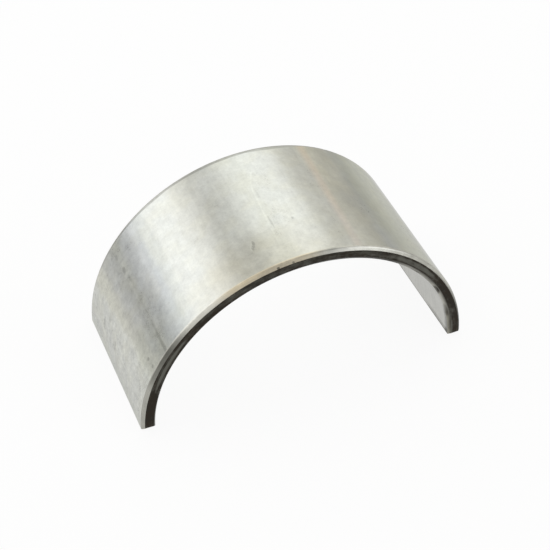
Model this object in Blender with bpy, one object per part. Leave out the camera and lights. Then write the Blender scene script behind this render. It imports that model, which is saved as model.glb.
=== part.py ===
"""Engine bearing shell: one half of a thin-walled, steel-backed plain bearing.

The strip's chamfered section is swept round the arc that the shell springs out to
when nothing holds it. The bore is then given its true form, thickest at the crown
and eased towards the two parting faces, and the parting faces' edges are broken.

The shell stands on its parting faces with its crown up. X runs across the ends,
Y along the bearing's axis and Z up. The origin is on the surface it stands on,
midway between the ends. Lengths are in metres.
"""

import math

import bmesh
import bpy
from mathutils import Matrix, Vector

MM = 0.001

# The round seat that the shell is pressed into, and how the shell grips it
SEAT_BORE = 60.0 * MM
CRUSH_HEIGHT = 0.04 * MM
FREE_SPREAD = 0.8 * MM

# The strip: its width along the axis, and the wall at the crown
SHELL_WIDTH = 29.6 * MM
CROWN_WALL = 2.48 * MM

# The bore: the offset of its centre below the back's centre, and the relief at the parting faces
BORE_OFFSET = 0.012 * MM
RELIEF_DEPTH = 0.02 * MM
RELIEF_LENGTH = 8.0 * MM

# Edge chamfers: depth is measured through the wall, width along the axis
BACK_CHAMFER_DEPTH = 0.5 * MM
BACK_CHAMFER_WIDTH = 0.5 * MM
BORE_CHAMFER_DEPTH = 0.45 * MM
BORE_CHAMFER_WIDTH = 0.3 * MM
PARTING_EDGE_BREAK = 0.1 * MM

# How finely the arc is divided, and the turn above which an edge is shown sharp
ARC_STEPS = 180
SHARP_TURN = math.radians(20.0)

NAME = "engine_bearing_shell"


def clear_scene():
    """Remove the objects that the scene starts with."""
    for item in list(bpy.data.objects):
        bpy.data.objects.remove(item, do_unlink=True)


def named_collection(name):
    """A collection of this name, linked to the scene."""
    collection = bpy.data.collections.new(name)
    bpy.context.scene.collection.children.link(collection)
    return collection


def tin_flashed_steel():
    """The satin, pale grey finish of the plated strip."""
    material = bpy.data.materials.new("tin_flashed_steel")
    material.use_nodes = True
    shader = material.node_tree.nodes["Principled BSDF"]
    shader.inputs["Base Color"].default_value = (0.60, 0.60, 0.56, 1.0)
    shader.inputs["Metallic"].default_value = 1.0
    shader.inputs["Roughness"].default_value = 0.38
    return material


def free_arc():
    """Radius and half angle of the back when the shell is free.

    The back is as long as half of the seat's circle plus the crush at both ends.
    Left free, it opens until its ends stand one free spread wider than the seat.
    """
    back_length = math.pi * SEAT_BORE / 2 + 2 * CRUSH_HEIGHT
    chord_ratio = (SEAT_BORE + FREE_SPREAD) / back_length
    half_angle = math.pi / 2
    for _ in range(12):
        miss = math.sin(half_angle) - chord_ratio * half_angle
        slope = math.cos(half_angle) - chord_ratio
        half_angle -= miss / slope
    return back_length / (2 * half_angle), half_angle


def strip_section():
    """The section's corners: depth below the back, and place along the axis."""
    edge = SHELL_WIDTH / 2
    front = [
        (0.0, -edge + BACK_CHAMFER_WIDTH),
        (BACK_CHAMFER_DEPTH, -edge),
        (CROWN_WALL - BORE_CHAMFER_DEPTH, -edge),
        (CROWN_WALL, -edge + BORE_CHAMFER_WIDTH),
    ]
    rear = [(depth, -place) for depth, place in reversed(front)]
    return front + rear


def sweep_strip(bm, radius, half_angle):
    """Sweep the section through the whole arc, from the left parting face to the right one."""
    corners = [bm.verts.new((0.0, place, radius - depth)) for depth, place in strip_section()]
    bm.faces.new(corners)
    to_left_end = Matrix.Rotation(-half_angle, 3, "Y")
    bmesh.ops.rotate(bm, verts=bm.verts[:], cent=(0.0, 0.0, 0.0), matrix=to_left_end)
    bmesh.ops.spin(
        bm,
        geom=bm.verts[:] + bm.edges[:] + bm.faces[:],
        cent=(0.0, 0.0, 0.0),
        axis=(0.0, 1.0, 0.0),
        angle=2 * half_angle,
        steps=ARC_STEPS,
    )


def wall_loss(turn, half_angle, bore_radius):
    """How much thinner the wall is than at the crown, at a turn away from it."""
    seated_turn = turn / half_angle * math.pi / 2
    loss = BORE_OFFSET * (1 - math.cos(seated_turn))
    to_face = (half_angle - turn) * bore_radius
    if to_face < RELIEF_LENGTH:
        loss += RELIEF_DEPTH * (1 - to_face / RELIEF_LENGTH) ** 2
    return loss


def bore_strip(bm, radius, half_angle):
    """Move the bore's points outwards to the offset, relieved bore."""
    bore_radius = radius - CROWN_WALL
    reach = bore_radius + BORE_CHAMFER_DEPTH / 2
    for vert in bm.verts:
        across = Vector((vert.co.x, 0.0, vert.co.z))
        if across.length < reach:
            turn = abs(math.atan2(across.x, across.z))
            vert.co += across.normalized() * wall_loss(turn, half_angle, bore_radius)


def break_parting_edges(bm):
    """Chamfer the edges round both parting faces."""
    parting_faces = [face for face in bm.faces if len(face.verts) > 4]
    edges = {edge for face in parting_faces for edge in face.edges}
    bmesh.ops.bevel(
        bm,
        geom=list(edges),
        offset=PARTING_EDGE_BREAK,
        offset_type="OFFSET",
        segments=1,
        affect="EDGES",
    )


def stand_on_ends(bm):
    """Lower the shell until its ends touch the plane Z = 0."""
    lowest = min(vert.co.z for vert in bm.verts)
    bmesh.ops.translate(bm, verts=bm.verts[:], vec=(0.0, 0.0, -lowest))


def make_bearing_shell(collection):
    """The whole shell, as one solid."""
    radius, half_angle = free_arc()
    bm = bmesh.new()
    sweep_strip(bm, radius, half_angle)
    bore_strip(bm, radius, half_angle)
    break_parting_edges(bm)
    stand_on_ends(bm)
    bmesh.ops.recalc_face_normals(bm, faces=bm.faces[:])
    mesh = bpy.data.meshes.new("bearing_shell")
    bm.to_mesh(mesh)
    bm.free()
    mesh.materials.append(tin_flashed_steel())
    mesh.shade_smooth()
    mesh.set_sharp_from_angle(angle=SHARP_TURN)
    shell = bpy.data.objects.new("bearing_shell", mesh)
    collection.objects.link(shell)
    return shell


def main():
    clear_scene()
    make_bearing_shell(named_collection(NAME))


main()
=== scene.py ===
"""Looks of an engine bearing shell, on a pale floor under soft studio light.

The shell is one piece: a fine mesh of its tin-flashed back, turned chamfers, dark
side faces, bored lining and broached parting faces, which stands for the frame's
solid. Lengths are in metres. An unrolled place on the shell is given by its arc
from the crown, positive to the right, its place along the axis, positive to the
rear, and its depth below the back.
"""

import math

import bmesh
import bpy
import numpy as np
from bpy.props import FloatProperty, FloatVectorProperty, IntProperty, PointerProperty
from mathutils import Matrix, Vector


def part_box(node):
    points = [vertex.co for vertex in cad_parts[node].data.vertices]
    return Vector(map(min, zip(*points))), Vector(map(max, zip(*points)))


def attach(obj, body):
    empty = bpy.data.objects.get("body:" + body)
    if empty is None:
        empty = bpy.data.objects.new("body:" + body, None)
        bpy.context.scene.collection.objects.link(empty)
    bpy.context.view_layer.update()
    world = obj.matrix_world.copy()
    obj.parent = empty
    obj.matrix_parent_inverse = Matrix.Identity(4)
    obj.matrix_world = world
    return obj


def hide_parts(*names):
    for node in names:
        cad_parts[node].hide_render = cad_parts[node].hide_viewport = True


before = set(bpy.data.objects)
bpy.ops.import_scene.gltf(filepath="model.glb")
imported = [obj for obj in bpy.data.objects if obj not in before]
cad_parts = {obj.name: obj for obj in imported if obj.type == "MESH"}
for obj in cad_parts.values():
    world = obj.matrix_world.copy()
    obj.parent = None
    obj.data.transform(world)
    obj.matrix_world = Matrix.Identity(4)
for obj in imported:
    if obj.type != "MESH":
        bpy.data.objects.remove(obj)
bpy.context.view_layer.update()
SHELL_LOW, SHELL_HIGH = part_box("bearing_shell")

bl_info = {
    "name": "Engine bearing shell",
    "version": (1, 0, 0),
    "blender": (4, 5, 0),
    "location": "3D View > Sidebar > Bearing shell",
    "description": "Builds a half-round engine bearing shell with its finishes, and a studio to see it in",
    "category": "Object",
}

MM = 0.001
MICRON = 0.000001

# The runs of the strip's outline, in order, and the finish that each one has
BACK, BACK_CHAMFER, SIDE, BORE_CHAMFER, LINING, PARTING = range(6)
OUTLINE_RUNS = (BACK_CHAMFER, SIDE, BORE_CHAMFER, LINING, BORE_CHAMFER, SIDE, BACK_CHAMFER, BACK)
RUN_STEPS = {BACK_CHAMFER: 3, SIDE: 6, BORE_CHAMFER: 3, LINING: 48, BACK: 96}

# Steps in each rounded corner, and the narrow strip beside it that keeps the runs' shading flat
CORNER_STEPS = 3
SUPPORT = 0.03 * MM

# Rows of faces in the edge break of each parting face
BREAK_ROWS = 3

# The turn between faces above which an edge is shown sharp
SHARP_TURN = math.radians(25.0)

# Steps of the search for the free arc's half angle
SEARCH_STEPS = 12

# How far the filed corner reaches round the arc, as a multiple of what is filed off
FILED_REACH = 12.0

# How late the chamfers fade towards the right parting face, as powers of the turn's sine: the
# back's front chamfer, and the width of the bore's chamfers
FADE_POWER = 16
TIP_POWER = 60

# Where the random draws start
SEED = 11

# Waves that forming leaves in the back: length and height, and how far they may lean
BACK_WAVES = ((11.0 * MM, 4.0 * MICRON), (6.0 * MM, 2.0 * MICRON), (3.1 * MM, 0.8 * MICRON))
WAVE_LEAN = 0.06

# Turns in degrees of the two bites in the lower edge of the back's front chamfer
LEFT_BITE = -9.4
RIGHT_BITE = -4.3

# Nicks in the edges of the back's chamfers, given as corners of the section: how many to an edge,
# how far from the crown in degrees, how wide and how deep
CHAMFER_CORNERS = (0, 1, 6, 7)
FRONT_LOWER_CORNER = 1
NICKS_PER_EDGE = 7
NICK_TURN = 85.0
NICK_WIDTHS = (0.18 * MM, 0.34 * MM)
NICK_DEPTHS = (0.01 * MM, 0.04 * MM)

# Dents in the back, darkened with painted shade: turn in degrees and place, reach each way, and strength
BACK_DENTS_WITH_SHADE = (
    ((-12.4, -7.8 * MM), (0.55, 0.60 * MM), 0.7),
    ((-12.8, -8.3 * MM), (0.55, 0.60 * MM), 0.7),
    ((-13.3, -8.8 * MM), (0.50, 0.60 * MM), 0.5),
    ((3.1, -5.2 * MM), (0.45, 0.35 * MM), 0.5),
    ((-3.9, -4.6 * MM), (0.35, 1.9 * MM), 0.4),
    ((-2.8, 2.8 * MM), (0.35, 1.6 * MM), 0.2),
    ((-62.7, -11.2 * MM), (0.6, 0.40 * MM), 1.0),
    ((-62.4, -13.2 * MM), (0.6, 0.40 * MM), 0.9),
    ((-55.1, 7.2 * MM), (0.9, 0.9 * MM), 0.6),
    ((-55.7, 10.9 * MM), (0.8, 0.8 * MM), 0.4),
    ((-54.4, 4.6 * MM), (0.6, 1.2 * MM), 0.3),
)

# Painted reflections on the back, darker and lighter: turn in degrees and place, reach each way, and tint
BACK_PAINTED_REFLECTIONS = (
    ((-60.0, -3.0 * MM), (6.0, 30.0 * MM), (0.84, 0.84, 0.86)),
    ((-61.0, -12.0 * MM), (9.0, 8.0 * MM), (0.95, 0.96, 0.94)),
    ((-87.5, -2.0 * MM), (4.0, 30.0 * MM), (0.93, 0.94, 0.92)),
    ((-48.0, 0.0), (6.0, 25.0 * MM), (0.97, 0.98, 1.03)),
    ((-42.0, 2.0 * MM), (4.0, 25.0 * MM), (0.93, 0.94, 0.95)),
    ((-24.0, 0.0), (7.0, 30.0 * MM), (0.94, 0.93, 0.91)),
    ((-16.0, -6.0 * MM), (7.0, 13.0 * MM), (0.94, 0.94, 0.93)),
    ((-47.5, -12.0 * MM), (6.0, 8.0 * MM), (0.94, 0.95, 0.94)),
    ((4.0, 2.0 * MM), (7.0, 30.0 * MM), (1.04, 1.04, 1.06)),
    ((-12.0, -15.0 * MM), (28.0, 11.0 * MM), (0.92, 0.90, 0.86)),
    ((-7.5, -14.0 * MM), (8.0, 9.0 * MM), (0.94, 0.94, 0.93)),
    ((15.0, 0.0), (4.5, 30.0 * MM), (0.965, 0.965, 0.965)),
    ((25.5, 4.0 * MM), (7.0, 30.0 * MM), (1.06, 1.04, 0.98)),
    ((27.0, 12.0 * MM), (8.0, 11.0 * MM), (1.10, 1.09, 1.06)),
    ((45.0, 0.0), (14.0, 30.0 * MM), (0.88, 0.88, 0.79)),
)

# Long marks over the back: turns in degrees midway along the axis, softness, and lean in degrees
# per metre
# The crease is darkened with painted shade, and the ridge lightened with a painted highlight
CREASE = ((-54.6, -53.9), 0.7, 0.0)
RIDGE = ((-4.35, -3.95), 0.3, 0.13 / MM)
# The streak is a painted warm reflection, lighter than the back round it
WARM_REFLECTION_STREAK = ((19.2, 20.8), 2.0, 0.11 / MM)
# The olive band is painted shade
OLIVE_SHADE_BAND = ((-68.0, -62.0), 2.5, -0.22 / MM)

# Where the ridge starts to bend, and by how much, in degrees per square metre
RIDGE_BEND_START = 3.0 * MM
RIDGE_BEND = 0.08 / MM ** 2

# A patch of scuffs on the back: turn in degrees and place, and reach each way
SCUFFS = ((-77.5, 3.0 * MM), (3.2, 10.0 * MM))

# Painted shade in the bites in the lower edge of the back's front chamfer: turn in degrees and depth,
# reach each way, and strength
BITE_PAINTED_SHADE = (
    ((LEFT_BITE, 0.52 * MM), (0.62, 0.24 * MM), 0.8),
    ((RIGHT_BITE, 0.54 * MM), (0.55, 0.26 * MM), 0.6),
)

# Stretches of the back's front chamfer darkened with painted shade: turns in degrees, softness and
# strength
CHAMFER_PAINTED_SHADE = (
    ((-95.0, -64.0), 4.0, 0.45),
    ((5.0, 13.0), 4.0, 0.32),
    ((-29.5, -23.0), 3.0, 0.18),
)

# Darker spots where the bore's front chamfer meets the lining: turn in degrees and depth, reach each way,
# and strength
BORE_DARK_SPOTS = (
    ((62.2, 2.36 * MM), (3.2, 0.40 * MM), 1.0),
    ((75.2, 2.34 * MM), (4.0, 0.36 * MM), 0.45),
    ((82.0, 2.25 * MM), (9.0, 0.30 * MM), 0.15),
    ((47.0, 2.46 * MM), (3.5, 0.20 * MM), 0.5),
)

# Places on the side faces that are rubbed lighter, or darker where the strength is negative: turn in
# degrees and depth, reach each way, and strength
SIDE_RUBS = (
    ((-59.0, 1.43 * MM), (13.0, 0.34 * MM), 1.30),
    ((-14.0, 1.3 * MM), (30.0, 0.6 * MM), 0.22),
    ((25.0, 1.3 * MM), (14.0, 0.6 * MM), 0.28),
    ((-79.0, 1.3 * MM), (9.0, 1.2 * MM), -0.35),
    ((67.0, 1.2 * MM), (9.0, 1.2 * MM), -0.25),
    ((45.0, 1.3 * MM), (14.0, 0.5 * MM), 0.80),
)

# How strongly the metal reflects at a grazing angle
GRAZING_TINT = (0.8, 0.8, 0.8, 1.0)

# How far the softboxes are from the shell's origin
SOFTBOX_REACH = 0.6

# Softboxes: name, turns from straight up in degrees, ends along the axis, level and colour
SOFTBOXES = (
    ("left_softbox", (-75.0, -28.0), (0.0, 1.4), 1.05, (0.99, 1.0, 1.02)),
    ("middle_softbox", (-28.0, 1.0), (0.0, 1.4), 0.30, (1.0, 1.0, 0.97)),
    ("top_softbox", (1.0, 41.0), (0.0, 1.4), 0.90, (0.98, 1.0, 0.96)),
    ("warm_softbox", (41.0, 68.0), (0.0, 1.4), 0.32, (1.0, 0.94, 0.78)),
    ("left_front_softbox", (-68.0, -30.0), (-1.2, -0.1), 0.50, (1.0, 1.0, 1.0)),
    ("warm_front_softbox", (-36.0, -10.0), (-1.2, -0.1), 0.30, (1.0, 0.8, 0.45)),
    ("right_front_softbox", (46.0, 80.0), (-1.0, -0.1), 1.00, (0.97, 1.0, 1.05)),
)

# The floor, and its whitest patch: half its width and length, and how far it lies behind the shell
FLOOR_RADIUS = 3.0
PATCH_REACH = (0.075, 0.092)
PATCH_SHIFT = 0.028


class ShellSizes(bpy.types.PropertyGroup):
    """Sizes of the shell."""

    seat_bore: FloatProperty(
        name="Seat bore", description="Bore that the shell is pressed into",
        default=60.0 * MM, unit="LENGTH",
    )
    crush_height: FloatProperty(
        name="Crush height", description="How far each parting face stands past the seat's half circle",
        default=0.04 * MM, unit="LENGTH",
    )
    free_spread: FloatProperty(
        name="Free spread", description="How much wider than the seat the free shell is",
        default=0.8 * MM, unit="LENGTH",
    )
    width: FloatProperty(
        name="Width", description="Width along the axis",
        default=SHELL_HIGH.y - SHELL_LOW.y, unit="LENGTH",
    )
    crown_wall: FloatProperty(
        name="Crown wall", description="Wall at the crown", default=2.48 * MM, unit="LENGTH"
    )
    bore_offset: FloatProperty(
        name="Bore offset", description="Offset of the bore's centre below the back's centre",
        default=0.012 * MM, unit="LENGTH",
    )
    relief_depth: FloatProperty(
        name="Relief depth", description="Wall taken away at each parting face",
        default=0.02 * MM, unit="LENGTH",
    )
    relief_length: FloatProperty(
        name="Relief length", description="Length of the bore's relief", default=8.0 * MM, unit="LENGTH"
    )
    back_chamfer: FloatVectorProperty(
        name="Back chamfer", description="Depth through the wall, and width along the axis",
        size=2, default=(0.5 * MM, 0.5 * MM), unit="LENGTH",
    )
    bore_chamfer: FloatVectorProperty(
        name="Bore chamfer", description="Depth through the wall, and width along the axis",
        size=2, default=(0.45 * MM, 0.3 * MM), unit="LENGTH",
    )
    chamfer_drift: FloatVectorProperty(
        name="Chamfer drift",
        description="Growth from the crown to the right parting face of the front back chamfer's width, "
        "the bore chamfers' depth and the rear back chamfer",
        size=3, default=(-0.09 * MM, 0.2 * MM, -0.15 * MM), unit="LENGTH",
    )
    front_trim: FloatVectorProperty(
        name="Front trim",
        description="How much deeper the front back chamfer is at the crown than the drawn chamfer, "
        "and how much wider it is all along",
        size=2, default=(0.09 * MM, -0.09 * MM), unit="LENGTH",
    )
    end_fade: FloatProperty(
        name="End fade",
        description="How much of the front back chamfer is gone at the right parting face",
        default=0.3, min=0.0, max=0.8,
    )
    tip_fade: FloatProperty(
        name="Tip fade",
        description="How much of the bore chamfers' width is gone at the right parting face",
        default=0.6, min=0.0, max=0.8,
    )
    parting_break: FloatProperty(
        name="Parting edge break", description="Chamfer round each parting face",
        default=0.1 * MM, unit="LENGTH",
    )
    filed_corner: FloatProperty(
        name="Filed corner", description="How far the left parting face's front edge is filed off",
        default=0.62 * MM, unit="LENGTH",
    )
    edge_radius: FloatProperty(
        name="Edge radius", description="Radius of the worn edges", default=0.05 * MM, unit="LENGTH"
    )
    crest_radius: FloatProperty(
        name="Crest radius", description="Radius of the worn edges between the back and its chamfers",
        default=0.55 * MM, unit="LENGTH",
    )
    arc_steps: IntProperty(name="Arc steps", description="Steps round the arc", default=420, min=24)


class ShellColours(bpy.types.PropertyGroup):
    """Colours of the shell's finishes."""

    back: FloatVectorProperty(
        name="Back", description="Tin flash on the back", subtype="COLOR", default=(0.595, 0.603, 0.565)
    )
    # The streak's tint paints a warm, lighter reflection
    streak: FloatVectorProperty(
        name="Streak", description="Tint of the thin streak along the back", subtype="COLOR",
        default=(1.18, 1.05, 1.00), soft_max=2.0,
    )
    rust: FloatVectorProperty(
        name="Rust", description="Tint of the side faces where they have browned", subtype="COLOR",
        default=(1.10, 1.0, 0.93), soft_max=2.0,
    )
    # The stain tint also colours the olive band of painted shade on the back
    stain_and_painted_shade: FloatVectorProperty(
        name="Stain", description="Tint of the back and the bore chamfers where they are stained",
        subtype="COLOR", default=(1.0, 0.985, 0.93),
    )
    side: FloatVectorProperty(
        name="Side faces", description="Oil-darkened steel of the side faces", subtype="COLOR",
        default=(0.026, 0.023, 0.018),
    )
    # The rubbed side colour is also the colour of the painted shade on the back, its chamfers and the
    # lining
    rub_and_painted_shade: FloatVectorProperty(
        name="Rubbed side", description="Side faces where they are rubbed bright", subtype="COLOR",
        default=(0.107, 0.106, 0.091),
    )
    chamfer: FloatVectorProperty(
        name="Chamfers", description="Turned steel of the chamfers", subtype="COLOR",
        default=(0.60, 0.593, 0.535),
    )
    # The chamfer tint is a painted warm reflection
    chamfer_tint: FloatVectorProperty(
        name="Chamfer tint", description="Tint of the front chamfer left of the crown", subtype="COLOR",
        default=(1.03, 0.945, 0.81), soft_max=2.0,
    )
    lining: FloatVectorProperty(
        name="Lining", description="Bored bearing lining", subtype="COLOR", default=(0.80, 0.80, 0.765)
    )


class StudioSettings(bpy.types.PropertyGroup):
    """Light, floor and camera."""

    floor: FloatVectorProperty(
        name="Floor", description="Colour of the floor", subtype="COLOR", default=(0.90, 0.90, 0.90)
    )
    far_floor: FloatVectorProperty(
        name="Far floor", description="Colour of the floor away from the shell", subtype="COLOR",
        default=(0.55, 0.55, 0.52),
    )
    floor_glow: FloatProperty(
        name="Floor glow", description="How much of the floor is shown as plain white, without shading",
        default=0.9, min=0.0, max=1.0,
    )
    surround: FloatProperty(
        name="Surround", description="Level of the light from all round", default=0.55, min=0.0
    )
    camera_distance: FloatProperty(
        name="Camera distance", description="From the camera to the point it looks at",
        default=252.8 * MM, unit="LENGTH",
    )
    camera_aim: FloatVectorProperty(
        name="Camera aim", description="The point that the camera looks at", subtype="TRANSLATION",
        default=(0.31 * MM, -0.12 * MM, 12.55 * MM), unit="LENGTH",
    )
    camera_azimuth: FloatProperty(
        name="Camera azimuth", description="Turn of the camera round the shell",
        default=math.radians(-21.68), subtype="ANGLE",
    )
    camera_elevation: FloatProperty(
        name="Camera elevation", description="Height of the camera above the horizon",
        default=math.radians(43.98), subtype="ANGLE",
    )
    camera_roll: FloatProperty(
        name="Camera roll", description="Turn of the camera about its line of sight",
        default=math.radians(-1.09), subtype="ANGLE",
    )
    lens: FloatProperty(name="Lens", description="Focal length in millimetres", default=93.49)


class Value:
    """A socket in an expression. Arithmetic on it adds the Math nodes."""

    def __init__(self, finish, socket):
        self.finish = finish
        self.socket = socket

    def __add__(self, other):
        return self.finish.math("ADD", self, other)

    def __radd__(self, other):
        return self.finish.math("ADD", other, self)

    def __sub__(self, other):
        return self.finish.math("SUBTRACT", self, other)

    def __rsub__(self, other):
        return self.finish.math("SUBTRACT", other, self)

    def __mul__(self, other):
        return self.finish.math("MULTIPLY", self, other)

    def __rmul__(self, other):
        return self.finish.math("MULTIPLY", other, self)

    def __abs__(self):
        return self.finish.math("ABSOLUTE", self)


class Finish:
    """A material, with one method that adds a node and fills it."""

    def __init__(self, name, arc=None):
        self.material = bpy.data.materials.new(name)
        self.material.use_nodes = True
        self.tree = self.material.node_tree
        self.shader = self.tree.nodes["Principled BSDF"]
        if arc:
            self.unroll(arc)

    def node(self, kind, settings=None, sockets=None, output=0):
        """Add a node, set it up, fill its sockets, and return one of its outputs."""
        made = self.tree.nodes.new(kind)
        for name, value in (settings or {}).items():
            setattr(made, name, value)
        for key, value in (sockets or {}).items():
            self.fill(made.inputs[key], value)
        return Value(self, made.outputs[output])

    def fill(self, socket, value):
        """Link a socket to a value, or set it to a constant."""
        if isinstance(value, Value):
            self.tree.links.new(value.socket, socket)
        else:
            socket.default_value = value

    def math(self, operation, *values):
        """One Math node on these values."""
        return self.node("ShaderNodeMath", {"operation": operation}, dict(enumerate(values)))

    def point(self, x, y, z=0.0):
        """A point to read noise at; the same two values with another z give other noise."""
        return self.node("ShaderNodeCombineXYZ", sockets={"X": x, "Y": y, "Z": z})

    def unroll(self, arc):
        """Find the shaded point's arc, place and depth, and its turn from the crown in degrees."""
        where = self.node("ShaderNodeTexCoord", output="Object")
        x, self.places, z = (
            self.node("ShaderNodeSeparateXYZ", sockets={0: where}, output=axis) for axis in "XYZ"
        )
        height = z + arc.drop
        angle = self.math("ARCTAN2", x, height)
        self.arcs = angle * arc.radius
        self.turn = angle * math.degrees(1.0)
        self.depths = arc.radius - self.math("SQRT", x * x + height * height)

    def rise(self, value, low, high):
        """0 up to low, 1 from high on, and a smooth rise between."""
        return self.node(
            "ShaderNodeMapRange",
            {"interpolation_type": "SMOOTHSTEP"},
            {"Value": value, "From Min": low, "From Max": high},
        )

    def band(self, value, low, high, soft):
        """1 between low and high, and 0 outside, with soft ends."""
        return self.rise(value, low - soft, low + soft) - self.rise(value, high - soft, high + soft)

    def noise(self, point, size, detail=2.0, roughness=0.5):
        """Smooth noise about 0 whose lumps have this size; it seldom passes 0.25."""
        return self.node(
            "ShaderNodeTexNoise",
            sockets={"Vector": point, "Scale": 1.0 / size, "Detail": detail, "Roughness": roughness},
        ) - 0.5

    def spot(self, first, second, centre, reach):
        """1 in the middle of a soft-edged ellipse over two values, and 0 outside it."""
        across = (first - centre[0]) * (1.0 / reach[0])
        along = (second - centre[1]) * (1.0 / reach[1])
        return 1.0 - self.rise(across * across + along * along, 0.2, 1.2)

    def spots(self, first, second, table):
        """The spots of a table over two values, each by its strength."""
        total = 0.0
        for centre, reach, strength in table:
            total = total + strength * self.spot(first, second, centre, reach)
        return total

    def long_mark(self, turns, soft, lean, bend=0.0):
        """1 on a mark that runs along the axis with this lean and bend, and 0 beside it."""
        return self.band(self.turn - self.places * lean - bend, *turns, soft)

    def blend(self, factor, first, second):
        """A colour between two colours."""
        return self.node(
            "ShaderNodeMix",
            {"data_type": "RGBA"},
            {"Factor": factor, 6: rgba(first), 7: rgba(second)},
            output=2,
        )

    def varied(self, shade, colour, spread):
        """A colour that is darker by this share where the shade is 0, and lighter where it is 1."""
        return self.blend(shade, scaled(colour, 1.0 - spread), scaled(colour, 1.0 + spread))

    def tinted(self, factor, colour, tint):
        """A colour times a tint, by this factor."""
        return self.node(
            "ShaderNodeMix",
            {"data_type": "RGBA", "blend_type": "MULTIPLY"},
            {"Factor": factor, 6: rgba(colour), 7: rgba(tint)},
            output=2,
        )

    def own_shader(self):
        """The output of the material's own shader."""
        return Value(self, self.shader.outputs[0])

    def bump(self, height):
        """Use a height in microns as relief."""
        sockets = {"Strength": 1.0, "Distance": MICRON, "Height": height}
        relief = self.node("ShaderNodeBump", sockets=sockets)
        self.fill(self.shader.inputs["Normal"], relief)

    def dress(self, colour, roughness, metallic=1.0):
        """Give the shader its colour, roughness and metallic value."""
        self.fill(self.shader.inputs["Base Color"], colour)
        self.fill(self.shader.inputs["Roughness"], roughness)
        self.fill(self.shader.inputs["Metallic"], metallic)
        self.fill(self.shader.inputs["Specular Tint"], GRAZING_TINT)
        return self.material


def rgba(colour):
    """A colour as the four numbers of a colour socket; a linked colour stays as it is."""
    return colour if isinstance(colour, Value) else (*colour, 1.0)


def scaled(colour, factor):
    """A colour made lighter or darker."""
    return tuple(part * factor for part in colour)


class FreeArc:
    """The arc of the free shell: its radius, its half angle and its centre's drop below the floor."""

    def __init__(self, sizes):
        self.sizes = sizes
        back_length = math.pi * sizes.seat_bore / 2 + 2 * sizes.crush_height
        chord_ratio = (sizes.seat_bore + sizes.free_spread) / back_length
        half_angle = math.pi / 2
        for _ in range(SEARCH_STEPS):
            miss = math.sin(half_angle) - chord_ratio * half_angle
            half_angle -= miss / (math.cos(half_angle) - chord_ratio)
        self.half_angle = half_angle
        self.half_length = back_length / 2
        self.radius = back_length / (2 * half_angle)
        self.drop = self.radius - SHELL_HIGH.z

    def wall_loss(self, turn):
        """How much thinner the wall is than at the crown, at turns away from it."""
        sizes = self.sizes
        seated_turn = np.abs(turn) / self.half_angle * math.pi / 2
        to_face = (self.half_angle - np.abs(turn)) * (self.radius - sizes.crown_wall)
        relief = np.clip(1 - to_face / sizes.relief_length, 0, None) ** 2
        return sizes.bore_offset * (1 - np.cos(seated_turn)) + sizes.relief_depth * relief

    def bend(self, arcs, places, depths):
        """Points in space for unrolled places."""
        turns = arcs / self.radius
        reach = self.radius - depths
        return np.stack([reach * np.sin(turns), places, reach * np.cos(turns) - self.drop], axis=-1)


def section_corners(sizes, turn):
    """The section's corners at a turn as (depth, place), from the back's front edge by the bore."""
    edge = sizes.width / 2
    wall = sizes.crown_wall
    width_drift, bore_drift, rear_drift = (drift * math.sin(turn) for drift in sizes.chamfer_drift)
    depth, width = sizes.back_chamfer
    left = 1 - sizes.end_fade * max(0.0, math.sin(turn)) ** FADE_POWER
    front_depth = (depth + sizes.front_trim[0] * math.cos(turn) ** 2) * left
    front_width = (width + sizes.front_trim[1] + width_drift) * left
    bore_depth = sizes.bore_chamfer[0] + bore_drift
    bore_width = sizes.bore_chamfer[1] * (1 - sizes.tip_fade * max(0.0, math.sin(turn)) ** TIP_POWER)
    return [
        Vector((0.0, -edge + front_width)),
        Vector((front_depth, -edge)),
        Vector((wall - bore_depth, -edge)),
        Vector((wall, -edge + bore_width)),
        Vector((wall, edge - bore_width)),
        Vector((wall - bore_depth, edge)),
        Vector((depth + rear_drift, edge)),
        Vector((0.0, edge - width - rear_drift)),
    ]


def inset_corners(corners, inset):
    """The corners moved in, so that every side lies this far inside where it was."""
    moved = []
    for index, corner in enumerate(corners):
        before = (corner - corners[index - 1]).normalized()
        after = (corners[(index + 1) % len(corners)] - corner).normalized()
        inward = Vector((-before.y, before.x)) + Vector((-after.y, after.x))
        moved.append(corner + inward * (2 * inset / inward.length_squared))
    return moved


def rounded_corner(corner, before, after, radius):
    """Points of the small arc that rounds a corner between two sides."""
    turn = before.angle(after)
    start = corner - before * (radius * math.tan(turn / 2))
    inward = Vector((-before.y, before.x))
    points = []
    for step in range(CORNER_STEPS + 1):
        swing = turn * step / CORNER_STEPS
        along = before * (radius * math.sin(swing))
        points.append(start + along + inward * (radius * (1 - math.cos(swing))))
    return points


def section_outline(corners, sizes):
    """The rounded section's points, and the run of each face that follows a point."""
    count = len(corners)
    sides = [(corners[(i + 1) % count] - corners[i]).normalized() for i in range(count)]
    radii = [sizes.crest_radius if i in (0, count - 1) else sizes.edge_radius for i in range(count)]
    arcs = [rounded_corner(corners[i], sides[i - 1], sides[i], radii[i]) for i in range(count)]
    points = []
    runs = []
    for i in range(count):
        run = OUTLINE_RUNS[i]
        worn = OUTLINE_RUNS[i - 1] if run in (BACK, SIDE, LINING) else run
        points += arcs[i]
        runs += [worn] * CORNER_STEPS + [run]
        start = arcs[i][-1] + sides[i] * SUPPORT
        end = arcs[(i + 1) % count][0] - sides[i] * SUPPORT
        for step in range(RUN_STEPS[run] + 1):
            points.append(start.lerp(end, step / RUN_STEPS[run]))
            runs.append(run)
    return points, runs


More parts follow.
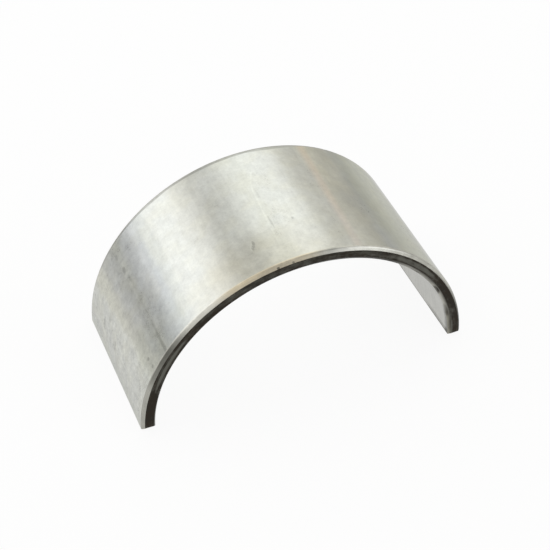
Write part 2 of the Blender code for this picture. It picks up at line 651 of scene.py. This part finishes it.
def stations(arc, sizes):
    """Places round the arc, each with how far the section is inset there."""
    edge = sizes.parting_break
    end = [(0.0, edge), (SUPPORT, edge - SUPPORT), (edge - SUPPORT, SUPPORT)]
    end += [(edge, 0.0), (edge + SUPPORT, 0.0)]
    reach = arc.half_length - edge - 2 * SUPPORT
    middle = [(float(place), 0.0) for place in np.linspace(-reach, reach, sizes.arc_steps + 1)]
    left = [(-arc.half_length + step, inset) for step, inset in end]
    right = [(arc.half_length - step, inset) for step, inset in reversed(end)]
    return left + middle + right


def back_ripple(arcs, places):
    """The faint waves that forming leaves in the back, running along the axis."""
    rng = np.random.default_rng(SEED)
    ripple = np.zeros_like(arcs)
    for length, height in BACK_WAVES:
        lean = rng.uniform(-WAVE_LEAN, WAVE_LEAN)
        start = rng.uniform(0.0, 2 * math.pi)
        ripple += height * np.sin(2 * math.pi * (arcs + lean * places) / length + start)
    return ripple


def edge_nicks(sizes):
    """Small dents on the back chamfers' edges: turn, section corner, how wide and how deep."""
    rng = np.random.default_rng(SEED + 1)
    nicks = [
        (math.radians(LEFT_BITE), FRONT_LOWER_CORNER, 0.34 * MM, 0.09 * MM),
        (math.radians(RIGHT_BITE), FRONT_LOWER_CORNER, 0.28 * MM, 0.06 * MM),
    ]
    for corner in CHAMFER_CORNERS:
        for _ in range(NICKS_PER_EDGE):
            turn = math.radians(rng.uniform(-NICK_TURN, NICK_TURN))
            nicks.append((turn, corner, rng.uniform(*NICK_WIDTHS), rng.uniform(*NICK_DEPTHS)))
    return nicks


def press_nicks(arc, sizes, arcs, places, depths):
    """Press each nick into the edge that it is on."""
    for turn, corner, reach, dent in edge_nicks(sizes):
        below, place = section_corners(sizes, turn)[corner]
        away = np.sqrt((arcs - turn * arc.radius) ** 2 + (places - place) ** 2 + (depths - below) ** 2)
        share = np.clip(1 - (away / reach) ** 2, 0, None) ** 2
        depths += dent * share
        places -= math.copysign(dent, place) * share


def file_corner(arc, sizes, arcs, places):
    """Slant the left parting face back to its front edge, easing out over the leg's last stretch."""
    cut = np.clip(sizes.filed_corner - (places + sizes.width / 2), 0, None)
    near_end = np.clip(1 - (arcs + arc.half_length) / (FILED_REACH * sizes.filed_corner), 0, 1)
    arcs += cut * near_end


def shell_surface(arc, sizes):
    """Unrolled places of the shell's skin, one row to a station, and the run of each column."""
    rows = []
    for place, inset in stations(arc, sizes):
        corners = inset_corners(section_corners(sizes, place / arc.radius), inset)
        outline, runs = section_outline(corners, sizes)
        rows.append([(place, point.y, point.x) for point in outline])
    skin = np.array(rows)
    arcs, places, depths = (skin[..., axis].copy() for axis in range(3))
    share = np.clip(2 * depths / sizes.crown_wall - 1, 0, 1)
    depths -= share * arc.wall_loss(arcs / arc.radius)
    on_back = np.clip(1 - depths / sizes.back_chamfer[0], 0, 1)
    depths += on_back * back_ripple(arcs, places)
    press_nicks(arc, sizes, arcs, places, depths)
    file_corner(arc, sizes, arcs, places)
    return arc.bend(arcs, places, depths), runs


def shell_mesh(arc, sizes):
    """The shell's mesh, with a finish index on each face."""
    skin, runs = shell_surface(arc, sizes)
    rows, columns = skin.shape[:2]
    points = [tuple(point) for point in skin.reshape(-1, 3)]
    faces = []
    finishes = []
    for row in range(rows - 1):
        broken = row < BREAK_ROWS or row >= rows - 1 - BREAK_ROWS
        for column in range(columns):
            after = (column + 1) % columns
            low, high = row * columns, (row + 1) * columns
            faces.append((low + column, high + column, high + after, low + after))
            finishes.append(PARTING if broken else runs[column])
    last = (rows - 1) * columns
    faces.append(tuple(range(columns)))
    faces.append(tuple(last + column for column in reversed(range(columns))))
    finishes += [PARTING, PARTING]
    mesh = bpy.data.meshes.new("bearing_shell_skin")
    mesh.from_pydata(points, [], faces)
    mesh.polygons.foreach_set("material_index", finishes)
    return mesh


def tidy_mesh(mesh):
    """Cut the two parting faces into triangles, turn all faces outwards and shade the mesh."""
    bm = bmesh.new()
    bm.from_mesh(mesh)
    flat = [face for face in bm.faces if len(face.verts) > 4]
    bmesh.ops.triangulate(bm, faces=flat, ngon_method="BEAUTY")
    bmesh.ops.recalc_face_normals(bm, faces=bm.faces[:])
    bm.to_mesh(mesh)
    bm.free()
    mesh.shade_smooth()
    mesh.set_sharp_from_angle(angle=SHARP_TURN)


def scratches(finish, lean, size, spread):
    """Fine straight lines that lean from the axis by this slope, gathered in patches."""
    across = finish.arcs - lean * finish.places
    along = finish.places + lean * finish.arcs
    lines = finish.noise(finish.point(across, along * 0.03, lean), size, detail=0.0)
    patches = finish.noise(finish.point(finish.arcs, finish.places, lean), spread, detail=1.0)
    return (1.0 - finish.rise(abs(lines), 0.0, 0.018)) * finish.rise(patches, 0.02, 0.12)


def tin_back(arc, colours):
    """Tin flash on the back: frosted grain, stain tints, lines along the axis, dents, and painted light
    and shade.
    """
    finish = Finish("tin_back", arc)
    arcs, places, turn = finish.arcs, finish.places, finish.turn
    contrast = 3.3 - 1.7 * finish.rise(turn, -82.0, -34.0) - 0.6 * finish.rise(turn, -5.0, 38.0)
    contrast = contrast + 1.2 * finish.rise(turn, 38.0, 47.0)
    frost = contrast * finish.noise(finish.point(arcs, places), 1.8 * MM, detail=5.0, roughness=0.88)
    drawn = finish.noise(finish.point(arcs, places * 0.06), 0.8 * MM, detail=3.0, roughness=0.7)
    cloud = finish.noise(finish.point(arcs, places * 0.6, 0.01), 7.0 * MM, detail=2.0)
    hue = finish.noise(finish.point(arcs, places, 0.02), 4.0 * MM, detail=2.0)
    scratch = scratches(finish, 0.12, 1.1 * MM, 6.0 * MM)
    dent = finish.spots(turn, places, BACK_DENTS_WITH_SHADE)
    forwards = -1.0 * places
    crease_and_shade = 0.35 * finish.rise(forwards, -8.0 * MM, 0.0)
    crease_and_shade = crease_and_shade + 0.45 * finish.rise(forwards, 5.5 * MM, 8.5 * MM)
    crease_and_shade = crease_and_shade + 0.8 * finish.rise(forwards, 10.0 * MM, 12.5 * MM)
    crease_and_shade = crease_and_shade * finish.long_mark(*CREASE)
    past_bend = finish.math("MAXIMUM", places - RIDGE_BEND_START, 0.0)
    ridge_and_highlight = finish.long_mark(*RIDGE, past_bend * past_bend * RIDGE_BEND)
    ridge_and_highlight = ridge_and_highlight * finish.band(places, -10.0 * MM, 9.0 * MM, 3.0 * MM)
    streak = finish.long_mark(*WARM_REFLECTION_STREAK) * (0.8 + 0.2 * finish.rise(places, -12.0 * MM, 0.0))
    scuff = finish.noise(finish.point(arcs, places, 0.05), 1.2 * MM, detail=3.0, roughness=0.8)
    scuff = finish.rise(scuff, 0.03, 0.12) * finish.spot(turn, places, *SCUFFS)
    shade = 0.5 + frost * 0.8 + drawn * 0.3 + cloud * 0.4 - scratch * 0.06
    # Painted shade in the dents and the crease, and a painted highlight on the ridge; the scuffs are
    # darker wear
    shade = shade - dent * 0.75 - crease_and_shade * 0.65 + ridge_and_highlight * 0.14 - scuff * 0.4
    colour = finish.varied(shade, colours.back, 0.28)
    # Painted reflections: bands and patches of the back tinted darker and lighter
    for centre, reach, tint in BACK_PAINTED_REFLECTIONS:
        colour = finish.tinted(finish.spot(turn, places, centre, reach), colour, tint)
    # Painted shade: a darker olive band on the left of the back; the stain tint also falls in random
    # patches
    olive = finish.long_mark(*OLIVE_SHADE_BAND)
    colour = finish.tinted(olive + finish.rise(hue, -0.1, 0.15) * 0.5, colour, colours.stain_and_painted_shade)
    # Painted warm reflection along the streak
    colour = finish.tinted(streak, colour, colours.streak)
    # More painted shade in the crease
    colour = finish.blend(crease_and_shade * 0.1, colour, colours.rub_and_painted_shade)
    # Painted shade along the rear edge of the back
    rear_edge_shade = finish.rise(places + cloud * (1.0 * MM), 13.50 * MM, 13.85 * MM)
    rear_edge_shade = rear_edge_shade * finish.band(turn, -60.0, 14.0, 10.0)
    colour = finish.blend(rear_edge_shade * (0.45 + frost * 0.8), colour, colours.rub_and_painted_shade)
    relief = frost * 4.0 + drawn * 1.5 - scratch * 2.0 - dent * 25.0
    finish.bump(relief - crease_and_shade * 8.0 + ridge_and_highlight * 5.0 - scuff * 6.0)
    return finish.dress(colour, 0.30 + frost * 0.06 + cloud * 0.10)


def turned_chamfer(arc, colours):
    """Turned steel of the back's chamfers, with tool lines round the arc, and painted highlights and
    shade.
    """
    finish = Finish("turned_chamfer", arc)
    arcs, places, depths, turn = finish.arcs, finish.places, finish.depths, finish.turn
    tool = finish.noise(finish.point(arcs * 0.02, places, depths), 0.09 * MM, detail=2.0)
    cloud = finish.noise(finish.point(arcs, places, depths), 1.4 * MM, detail=4.0, roughness=0.75)
    # Painted highlights on two stretches of the chamfers
    shade = 0.5 + tool * 0.9 + cloud * 1.4 + finish.band(turn, -42.0, -17.0, 4.0) * 0.20
    shade = shade + finish.band(turn, 22.0, 34.0, 6.0) * 0.15
    bright = finish.varied(shade, colours.chamfer, 0.25)
    front = 1.0 - finish.rise(places, 0.0, 1.0 * MM)
    # A painted warm reflection on the front chamfer left of the crown
    bright = finish.tinted(finish.band(turn, -29.0, 4.0, 5.0) * front, bright, colours.chamfer_tint)
    # Painted shade on the chamfers: darker stretches and bites of the front one, and the whole rear one
    dark = finish.band(turn, -65.0, -48.5, 6.0) * finish.rise(depths, 0.0, 0.08 * MM) * 0.8
    for (low, high), soft, strength in CHAMFER_PAINTED_SHADE:
        dark = dark + strength * finish.band(turn, low, high, soft)
    dark = dark + finish.rise(turn, 39.0, 47.0) * 0.20 + finish.rise(turn, 59.0, 88.0) * 0.9
    dark = dark + finish.rise(turn, 48.0, 60.0) * finish.rise(depths, 0.2 * MM, 0.5 * MM) * 0.4
    dark = dark + finish.spots(turn, depths, BITE_PAINTED_SHADE)
    dark = dark * front + 0.3 * (1.0 - front)
    colour = finish.blend(dark, bright, scaled(colours.rub_and_painted_shade, 0.8))
    # The front chamfer darkens to the side faces' colour towards the right end
    tip = finish.rise(turn, 80.0, 88.0) * front
    colour = finish.blend(tip * 0.8, colour, colours.side)
    finish.bump(tool * 3.0)
    return finish.dress(colour, 0.33 + cloud * 0.2)


def dark_side(arc, colours):
    """Dark machined side faces, with rings round the arc that are rubbed lighter in places."""
    finish = Finish("dark_side", arc)
    arcs, places, depths, turn = finish.arcs, finish.places, finish.depths, finish.turn
    rings = finish.noise(finish.point(arcs * 0.08, places, depths), 0.5 * MM, detail=4.0, roughness=0.75)
    patches = finish.noise(finish.point(arcs * 0.6, places, depths), 1.0 * MM, detail=3.0, roughness=0.75)
    rub = 0.08 + finish.rise(turn, 72.0, 84.0) * finish.rise(depths, 1.3 * MM, 1.9 * MM) * 1.2
    rub = rub + finish.spots(turn, depths, SIDE_RUBS)
    rub = rub + rings * 1.6 + patches * 1.8
    hue = finish.noise(finish.point(arcs, places, depths + 0.04), 1.3 * MM, detail=3.0)
    browned = finish.tinted(finish.rise(hue, -0.12, 0.12), colours.side, colours.rust)
    colour = finish.blend(rub, browned, colours.rub_and_painted_shade)
    finish.bump(rings * 8.0 + patches * 4.0)
    return finish.dress(colour, 0.42 + rings * 0.2)


def bore_dark_spots(finish):
    """Darker spots along the bore's front chamfer."""
    smudge = finish.spots(finish.turn, finish.depths, BORE_DARK_SPOTS)
    return smudge * (1.0 - finish.rise(finish.places, -14.4 * MM, -13.6 * MM))


def bore_chamfer(arc, colours):
    """The bore's chamfers: oil-dark and smeared, with painted highlights that lighten them towards the
    bore, most on the right leg.
    """
    finish = Finish("bore_chamfer", arc)
    arcs, places, depths, turn = finish.arcs, finish.places, finish.depths, finish.turn
    smear = finish.noise(finish.point(arcs * 0.5, places, depths), 1.3 * MM, detail=2.0)
    tool = finish.noise(finish.point(arcs * 0.02, places, depths), 0.1 * MM, detail=2.0)
    # Painted highlights on the bore's chamfers, lighter towards the bore and at the left leg's end, less
    # at the dark spots
    bore_painted_highlight = finish.rise(turn, 32.0, 42.0) * 0.40 + finish.band(turn, 58.0, 74.0, 3.0) * 0.25
    bore_painted_highlight = (bore_painted_highlight + 0.1) * finish.rise(depths, 1.65 * MM, 2.50 * MM) - bore_dark_spots(finish) * 0.5
    bore_painted_highlight = bore_painted_highlight + (1.0 - finish.rise(turn, -84.0, -76.0)) * 0.2
    colour = finish.blend(bore_painted_highlight + smear * 0.3, colours.side, colours.chamfer)
    colour = finish.tinted(finish.rise(turn, 74.0, 82.0) * 2.0, colour, colours.stain_and_painted_shade)
    finish.bump(tool * 3.0)
    return finish.dress(colour, 0.42)


def bored_lining(arc, colours):
    """The bearing lining, with the boring tool's fine rings, and painted shade towards the right leg's
    end.
    """
    finish = Finish("bored_lining", arc)
    arcs, places, turn = finish.arcs, finish.places, finish.turn
    rings = finish.noise(finish.point(arcs * 0.02, places), 0.35 * MM, detail=3.0, roughness=0.75)
    cloud = finish.noise(finish.point(arcs * 0.5, places), 3.0 * MM, detail=3.0)
    shade = 0.5 + rings * 1.0 + cloud * 0.6
    lining = finish.varied(shade, colours.lining, 0.2)
    # Painted shade on the lining: darker along its front edge, towards the right leg's end, at the parting
    # faces' edges and at the dark spots
    smear = finish.noise(finish.point(arcs * 0.4, places, 0.03), 1.5 * MM, detail=2.0)
    near_front = 1.0 - finish.rise(places + smear * (2.0 * MM), -14.3 * MM, -13.2 * MM)
    lining_painted_shade = near_front * (finish.band(turn, 42.0, 58.0, 4.0) * 0.35 + finish.rise(turn, 72.0, 80.0) * 0.35)
    lining_painted_shade = lining_painted_shade + finish.band(turn, 60.0, 69.0, 7.0) * 0.46 + finish.rise(turn, 60.0, 78.0) * 0.33
    lining_painted_shade = lining_painted_shade + finish.rise(turn, 87.9, 88.4) * 0.3
    front_part = 1.0 - finish.rise(places, -9.0 * MM, -5.0 * MM)
    lining_painted_shade = lining_painted_shade + finish.rise(turn, 86.0, 87.2) * front_part * 0.22
    lining_painted_shade = lining_painted_shade + bore_dark_spots(finish) * 0.6
    colour = finish.blend(lining_painted_shade, lining, colours.rub_and_painted_shade)
    finish.bump(rings * 4.0)
    return finish.dress(colour, 0.45 + cloud * 0.1)


def broached_end(arc, colours):
    """Broached steel of the parting faces, with lines along the axis."""
    finish = Finish("broached_end", arc)
    where = finish.point(finish.places * 0.02, finish.depths, finish.arcs)
    lines = finish.noise(where, 0.12 * MM, detail=2.0)
    colour = finish.blend(0.5 + lines, scaled(colours.chamfer, 0.7), scaled(colours.chamfer, 1.1))
    finish.bump(lines * 3.0)
    return finish.dress(colour, 0.33)


# The finish of each run, in the order of the runs' numbers
FINISHES = (tin_back, turned_chamfer, dark_side, bore_chamfer, bored_lining, broached_end)


class BEARING_OT_make_shell(bpy.types.Operator):
    """Build the bearing shell and give its surfaces their finishes"""

    bl_idname = "bearing.make_shell"
    bl_label = "Make bearing shell"

    def execute(self, context):
        sizes = context.scene.shell_sizes
        colours = context.scene.shell_colours
        arc = FreeArc(sizes)
        mesh = shell_mesh(arc, sizes)
        tidy_mesh(mesh)
        for make_finish in FINISHES:
            mesh.materials.append(make_finish(arc, colours))
        shell = bpy.data.objects.new("dressed_bearing_shell", mesh)
        context.scene.collection.objects.link(shell)
        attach(shell, "root")
        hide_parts("bearing_shell")
        return {"FINISHED"}


def add_lights():
    """Long softboxes above the shell, parallel to its axis."""
    for name, turns, ends, level, colour in SOFTBOXES:
        low, high = (math.radians(turn) for turn in turns)
        turn = (low + high) / 2
        lamp = bpy.data.lights.new(name, "AREA")
        lamp.shape = "RECTANGLE"
        lamp.size = 2 * SOFTBOX_REACH * math.tan((high - low) / 2)
        lamp.size_y = ends[1] - ends[0]
        lamp.energy = level * math.pi * lamp.size * lamp.size_y
        lamp.color = colour
        holder = bpy.data.objects.new(name, lamp)
        holder.location = (
            math.sin(turn) * SOFTBOX_REACH, (ends[0] + ends[1]) / 2, math.cos(turn) * SOFTBOX_REACH
        )
        holder.rotation_euler = (0.0, turn, 0.0)
        holder.visible_camera = False
        bpy.context.scene.collection.objects.link(holder)


def add_floor(settings):
    """A pale floor that goes on past the view. It is whitest round the shell, and keeps its shadow."""
    finish = Finish("pale_floor")
    where = finish.node("ShaderNodeTexCoord", output="Object")
    x, y = (finish.node("ShaderNodeSeparateXYZ", sockets={0: where}, output=axis) for axis in "XY")
    turn = settings.camera_azimuth
    across = (x * math.cos(turn) + y * math.sin(turn)) * (1.0 / PATCH_REACH[0])
    along = (y * math.cos(turn) - x * math.sin(turn) - PATCH_SHIFT) * (1.0 / PATCH_REACH[1])
    away = finish.math("SQRT", across * across * across * across + along * along * along * along)
    far = finish.rise(away, 1.0, 6.0)
    colour = finish.blend(far, settings.floor, settings.far_floor)
    finish.dress(colour, 1.0, 0.0)
    finish.shader.inputs["Specular IOR Level"].default_value = 0.0
    kinds = ("Camera", "Glossy", "Transmission")
    camera, glossy, through = (
        finish.node("ShaderNodeLightPath", output=f"Is {kind} Ray") for kind in kinds
    )
    white = finish.blend(far, (1.0, 1.0, 1.0), settings.far_floor)
    glow = finish.node("ShaderNodeEmission", sockets={"Color": white})
    mixed = finish.node(
        "ShaderNodeMixShader",
        sockets={0: (camera + glossy + through) * settings.floor_glow, 1: finish.own_shader(), 2: glow},
    )
    finish.fill(finish.tree.nodes["Material Output"].inputs["Surface"], mixed)
    bm = bmesh.new()
    bmesh.ops.create_circle(bm, cap_ends=True, radius=FLOOR_RADIUS, segments=96)
    mesh = bpy.data.meshes.new("floor")
    bm.to_mesh(mesh)
    bm.free()
    mesh.materials.append(finish.material)
    floor = bpy.data.objects.new("floor", mesh)
    bpy.context.scene.collection.objects.link(floor)


def set_surround(settings):
    """Even light from all round."""
    world = bpy.data.worlds.new("surround")
    world.use_nodes = True
    back = world.node_tree.nodes["Background"]
    back.inputs["Color"].default_value = (1.0, 1.0, 1.0, 1.0)
    back.inputs["Strength"].default_value = settings.surround
    bpy.context.scene.world = world


def place_camera(settings):
    """The camera, at the photograph's angle."""
    data = bpy.data.cameras.new("camera")
    data.lens = settings.lens
    data.sensor_width = 36.0
    data.clip_start = 0.01
    data.clip_end = 50.0
    azimuth, elevation = settings.camera_azimuth, settings.camera_elevation
    back = Vector((
        math.sin(azimuth) * math.cos(elevation),
        -math.cos(azimuth) * math.cos(elevation),
        math.sin(elevation),
    ))
    place = Vector(settings.camera_aim) + back * settings.camera_distance
    turn = back.to_track_quat("Z", "Y").to_matrix() @ Matrix.Rotation(settings.camera_roll, 3, "Z")
    camera = bpy.data.objects.new("camera", data)
    camera.matrix_world = Matrix.Translation(place) @ turn.to_4x4()
    bpy.context.scene.collection.objects.link(camera)
    bpy.context.scene.camera = camera


class BEARING_OT_set_studio(bpy.types.Operator):
    """Set up the floor, the lights and the camera"""

    bl_idname = "bearing.set_studio"
    bl_label = "Set up studio"

    def execute(self, context):
        settings = context.scene.studio_settings
        add_floor(settings)
        set_surround(settings)
        add_lights()
        place_camera(settings)
        context.scene.view_settings.view_transform = "Standard"
        return {"FINISHED"}


class BEARING_PT_panel(bpy.types.Panel):
    """Sidebar panel that lists the shell's settings and steps"""

    bl_label = "Bearing shell"
    bl_space_type = "VIEW_3D"
    bl_region_type = "UI"
    bl_category = "Bearing shell"

    def draw(self, context):
        scene = context.scene
        for settings in (scene.shell_sizes, scene.shell_colours, scene.studio_settings):
            box = self.layout.box()
            for name in settings.__annotations__:
                box.prop(settings, name)
        self.layout.operator(BEARING_OT_make_shell.bl_idname)
        self.layout.operator(BEARING_OT_set_studio.bl_idname)


CLASSES = (
    ShellSizes,
    ShellColours,
    StudioSettings,
    BEARING_OT_make_shell,
    BEARING_OT_set_studio,
    BEARING_PT_panel,
)


def register():
    for item in CLASSES:
        bpy.utils.register_class(item)
    bpy.types.Scene.shell_sizes = PointerProperty(type=ShellSizes)
    bpy.types.Scene.shell_colours = PointerProperty(type=ShellColours)
    bpy.types.Scene.studio_settings = PointerProperty(type=StudioSettings)


def unregister():
    del bpy.types.Scene.studio_settings
    del bpy.types.Scene.shell_colours
    del bpy.types.Scene.shell_sizes
    for item in reversed(CLASSES):
        bpy.utils.unregister_class(item)


def main():
    register()
    bpy.ops.bearing.make_shell()
    bpy.ops.bearing.set_studio()


if __name__ == "__main__":
    main()
